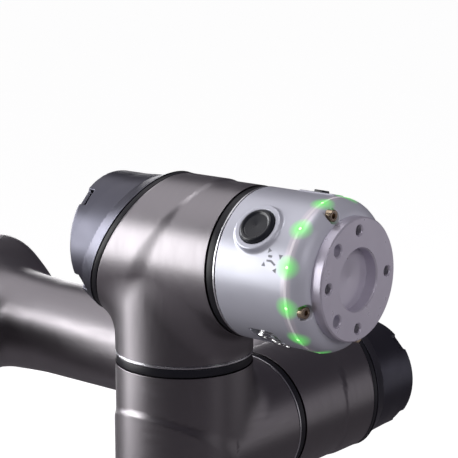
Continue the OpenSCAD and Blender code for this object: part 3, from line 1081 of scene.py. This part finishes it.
def mark_shape():
    """Printed pictogram, raised a hair: a bent finger on a key with four arrow heads round it"""
    finger = [(-2.6, 1.7), (-2.0, 2.5), (0.5, 0.9), (3.2, 0.9), (3.2, -0.1), (0.0, -0.1)]
    key = [(0.6, -1.3), (2.5, -1.3), (2.9, -1.9), (2.5, -2.5), (0.6, -2.5), (0.2, -1.9)]
    outlines = [finger, key]
    for k in range(4):
        a = math.pi / 2 * k + math.radians(30)
        arrow = [(4.6, -1.3), (6.8, 0), (4.6, 1.3)]
        outlines.append([(r * math.cos(a) - w * math.sin(a), r * math.sin(a) + w * math.cos(a)) for r, w in arrow])
    verts, faces = [], []
    for outline in outlines:
        area = sum(x0 * y1 - x1 * y0 for (x0, y0), (x1, y1) in zip(outline, outline[1:] + outline[:1]))
        outline = outline if area > 0 else outline[::-1]
        n = len(outline)
        start = len(verts)
        for lift in (-0.3, 0.06):
            for x, y in outline:
                turn = y / TOOL_R
                verts.append((x, math.sin(turn) * (TOOL_R + lift), math.cos(turn) * (TOOL_R + lift)))
        faces.append(tuple(start + i for i in reversed(range(n))))
        faces.append(tuple(start + n + i for i in range(n)))
        for i in range(n):
            j = (i + 1) % n
            faces.append((start + i, start + j, start + n + j, start + n + i))
    return verts, faces, None


# ---------- build ----------


def build_arm():
    metal, shell, rubber, lip = cast_metal(), dark_shell(), black_rubber(), bright_metal()
    world = Matrix.Identity(4)
    piece("base_casting", base_shape(), world, "base", metal, ["base_housing"])
    low = span("base_connector")
    inlet_place = Matrix.Translation((low[1].x, 0, 32)) @ Matrix.Rotation(-math.pi / 2, 4, "Y")
    connector = bright_metal("inlet_nickel", (0.62, 0.62, 0.64), 0.3)
    piece("power_inlet", inlet_shape(), inlet_place, "base", connector, ["base_connector"])
    for j in (1, 4, 5):
        node = f"{LINKS[j]}_housing"
        piece(f"{LINKS[j]}_casting", short_link(j), joint_frame(j), LINKS[j], metal, [node])
    upper_l = PLACES[2].z - PLACES[1].z
    fore_l = PLACES[3].x - PLACES[2].x
    upper = arm_shape(2, 43, upper_l, 50, 14, 105)
    piece("upper_arm_casting", upper, joint_frame(2), "upper_arm", metal, ["upper_arm_housing"])
    fore = arm_shape(3, 32, fore_l, 42, 12, 90)
    piece("forearm_casting", fore, joint_frame(3), "forearm", metal, ["forearm_housing"])
    for j in range(1, 6):
        link = LINKS[j]
        place = joint_frame(j)
        piece(f"{link}_end_cap", cap_shape(j), place, link, shell, [f"{link}_cap"])
        piece(f"{link}_cap_gasket", gasket_shape(j), place, link, rubber, [f"{link}_gasket"])
    for j in range(6):
        place = joint_frame(j)
        name = f"j{j + 1}"
        piece(f"{name}_seal_ring", seal_shape(j), place, LINKS[j], rubber, [f"{name}_seal"])
        piece(
            f"{name}_lip_and_hub", lip_shape(j), place, LINKS[j + 1], lip, [f"{name}_output_flange"]
        )


def build_tool():
    place = joint_frame(5)
    silver, black = silver_paint(), plastic("button_black", (0.008, 0.009, 0.012), (0.014, 0.015, 0.020), 0.3)
    piece("tool_barrel", tool_shape(), place, "tool", silver, ["tool_housing"])
    piece("tool_face_flange", flange_shape(), place, "tool", anodised(), ["tool_flange"])
    screw_metal = bright_metal("screw_brass", (0.62, 0.50, 0.36), 0.25)
    screws = []
    for k in range(4):
        a = math.radians(SCREW_TURN + 90 * k)
        spot = (SCREW_CIRCLE * math.cos(a), SCREW_CIRCLE * math.sin(a), TOOL_FRONT - SCREW_SEAT)
        screws.append(moved(screw_shape(3.0, 3.6, 1.5), Matrix.Translation(spot)))
    piece("tool_face_screws", merged(*screws), place, "tool", screw_metal, ["tool_screws"])
    threads = []
    for k in range(4):
        a = math.pi / 2 * k
        sleeve = thread_shape(2.5, TOOL_FRONT + 0.3, FLANGE_TOP - 0.9)
        threads.append(moved(sleeve, Matrix.Translation((25 * math.cos(a), 25 * math.sin(a), 0))))
    piece("tool_threads", merged(*threads), place, "tool", bright_metal("thread_steel"))
    glow = Paint("light_guide", 0.35)
    glow.colours((0.74, 0.70, 0.74), (0.80, 0.76, 0.80), 90)
    lamp_glow(glow, 0.8)
    piece("light_guide_ring", ring_shape(), place, "tool", glow.material, ["light_ring"])
    lens = Paint("lamp_lens", 0.2)
    lens.colours((0.70, 1.0, 0.55), (0.85, 1.0, 0.70), 90)
    lens.shader.inputs["Emission Color"].default_value = (0.52, 1.0, 0.42, 1)
    lens.shader.inputs["Emission Strength"].default_value = 0.9
    piece("ring_lamps", lamp_shapes(), place, "tool", lens.material)
    spot = place @ on_barrel(BUTTON_Z, BUTTON_TURN)
    piece("free_drive_key", button_shape(), spot, "free_drive", black, ["free_drive_button"])
    spot = place @ on_barrel(POINT_Z, POINT_TURN)
    top = slab((3, 3), TOOL_R - 6, TOOL_R + 1.8, 0.5, 0.8)
    piece("point_key", top, spot, "point", black, ["point_button"])
    nickel = bright_metal("plug_nickel", (0.80, 0.80, 0.80), 0.2)
    spot = place @ on_barrel(PLUG_Z, PLUG_TURN)
    piece("tool_sockets", plug_shape(), spot, "tool", nickel, ["tool_connector"])
    mark_paint = plastic("mark_print", (0.20, 0.21, 0.24), (0.24, 0.25, 0.28), 0.5)
    spot = place @ on_barrel(89, 71)
    piece("free_drive_mark", mark_shape(), spot, "tool", mark_paint)


def finish_inside():
    """The drives inside the joints keep their CAD shape and get machined, wound and magnet finishes"""
    steel = bright_metal("gear_steel_ground", (0.56, 0.56, 0.58), 0.3)
    spring = bright_metal("spring_steel", (0.62, 0.62, 0.65), 0.22)
    copper = bright_metal("stator_copper", (0.62, 0.30, 0.14), 0.4)
    magnet = bright_metal("rotor_steel", (0.30, 0.31, 0.34), 0.35)
    for j in range(1, 7):
        for part, material in (("gear_ring", steel), ("flexspline", spring), ("stator", copper), ("rotor", magnet)):
            node = frame["nodes"][f"j{j}_{part}"]
            node.data.materials.clear()
            node.data.materials.append(material)


# ---------- studio ----------

CAMERA_AT = Vector((0.8916, -0.7943, 0.7840))
CAMERA_LOOKS_AT = Vector((0.3287, -0.1087, 0.5938))
CAMERA_LENS = 132.8
SENSOR = 36


def emission(nodes, colour, strength):
    node = nodes.new("ShaderNodeEmission")
    node.inputs["Color"].default_value = (*colour, 1)
    node.inputs["Strength"].default_value = strength
    return node


def studio():
    scene = bpy.context.scene
    scene.view_settings.view_transform = "Standard"
    camera = bpy.data.objects.new("camera", bpy.data.cameras.new("camera"))
    camera.data.sensor_width = SENSOR
    camera.data.lens = CAMERA_LENS
    camera.data.clip_start, camera.data.clip_end = 0.05, 50
    camera.location = CAMERA_AT
    camera.rotation_euler = (CAMERA_LOOKS_AT - CAMERA_AT).to_track_quat("-Z", "Y").to_euler()
    scene.collection.objects.link(camera)
    scene.camera = camera

    world = bpy.data.worlds.new("studio")
    world.use_nodes = True
    nodes, links = world.node_tree.nodes, world.node_tree.links
    nodes.clear()
    path = nodes.new("ShaderNodeLightPath")
    mix = nodes.new("ShaderNodeMixShader")
    out = nodes.new("ShaderNodeOutputWorld")
    room = nodes.new("ShaderNodeBackground")
    room.inputs["Color"].default_value = (0.075, 0.068, 0.082, 1)
    white = nodes.new("ShaderNodeBackground")
    white.inputs["Color"].default_value = (1, 1, 1, 1)
    links.new(path.outputs["Is Camera Ray"], mix.inputs[0])
    links.new(room.outputs[0], mix.inputs[1])
    links.new(white.outputs[0], mix.inputs[2])
    links.new(mix.outputs[0], out.inputs[0])
    scene.world = world

    floor_mesh = bpy.data.meshes.new("floor")
    size = 12
    floor_mesh.from_pydata([(-size, -size, 0), (size, -size, 0), (size, size, 0), (-size, size, 0)], [], [(0, 1, 2, 3)])
    floor = bpy.data.objects.new("floor", floor_mesh)
    floor.location.z = -0.0005
    scene.collection.objects.link(floor)
    material = bpy.data.materials.new("floor_white")
    material.use_nodes = True
    nodes, links = material.node_tree.nodes, material.node_tree.links
    nodes.clear()
    diffuse = nodes.new("ShaderNodeBsdfDiffuse")
    diffuse.inputs["Color"].default_value = (0.16, 0.15, 0.16, 1)
    light = emission(nodes, (1, 1, 1), 0.97)
    path = nodes.new("ShaderNodeLightPath")
    both = nodes.new("ShaderNodeAddShader")
    mix = nodes.new("ShaderNodeMixShader")
    out = nodes.new("ShaderNodeOutputMaterial")
    links.new(diffuse.outputs[0], both.inputs[0])
    links.new(light.outputs[0], both.inputs[1])
    links.new(path.outputs["Is Camera Ray"], mix.inputs[0])
    links.new(diffuse.outputs[0], mix.inputs[1])
    links.new(both.outputs[0], mix.inputs[2])
    links.new(mix.outputs[0], out.inputs[0])
    floor_mesh.materials.append(material)

    centre = PLACES[5] * MM
    lights = (
        # name, direction from the wrist, distance, width, height, power, colour
        ("key", (-0.74, -0.66, 0.12), 1.7, 1.0, 1.2, 18, (1.0, 1.0, 1.0)),
        ("top", (-0.55, 0.0, 0.80), 1.7, 1.9, 1.9, 9, (1.0, 0.98, 1.0)),
        ("overhead", (-0.12, -0.15, 0.97), 1.6, 0.6, 0.6, 3, (1.0, 1.0, 1.0)),
        ("left", (-0.97, -0.13, 0.14), 1.7, 0.6, 0.8, 13, (0.97, 0.97, 1.0)),
        ("low", (-0.87, -0.45, -0.22), 1.7, 0.5, 0.7, 3, (1.0, 1.0, 1.0)),
        ("rim", (-0.78, 0.60, -0.15), 1.8, 0.6, 1.1, 7, (1.0, 1.0, 1.0)),
        ("right", (0.98, 0.10, -0.12), 1.8, 0.6, 1.2, 0.6, (1.0, 0.97, 1.0)),
        ("back", (0.62, 0.76, -0.15), 2.0, 1.5, 1.5, 2.4, (1.0, 0.97, 1.0)),
    )
    soft_lights = (
        ("face", (0.90, -0.42, 0.45), 2.0, 1.0, 1.0, 24, (1.0, 0.97, 1.0)),
    )
    for name, direction, distance, width, tall, power, colour in lights + soft_lights:
        data = bpy.data.lights.new(name, "AREA")
        data.shape = "RECTANGLE"
        data.size, data.size_y = width, tall
        data.energy = power
        data.color = colour
        lamp = bpy.data.objects.new(name, data)
        away = Vector(direction).normalized()
        lamp.location = centre + away * distance
        lamp.rotation_euler = (-away).to_track_quat("-Z", "Y").to_euler()
        lamp.visible_camera = False
        lamp.visible_glossy = name != "face"
        scene.collection.objects.link(lamp)


studio()
build_arm()
build_tool()
finish_inside()
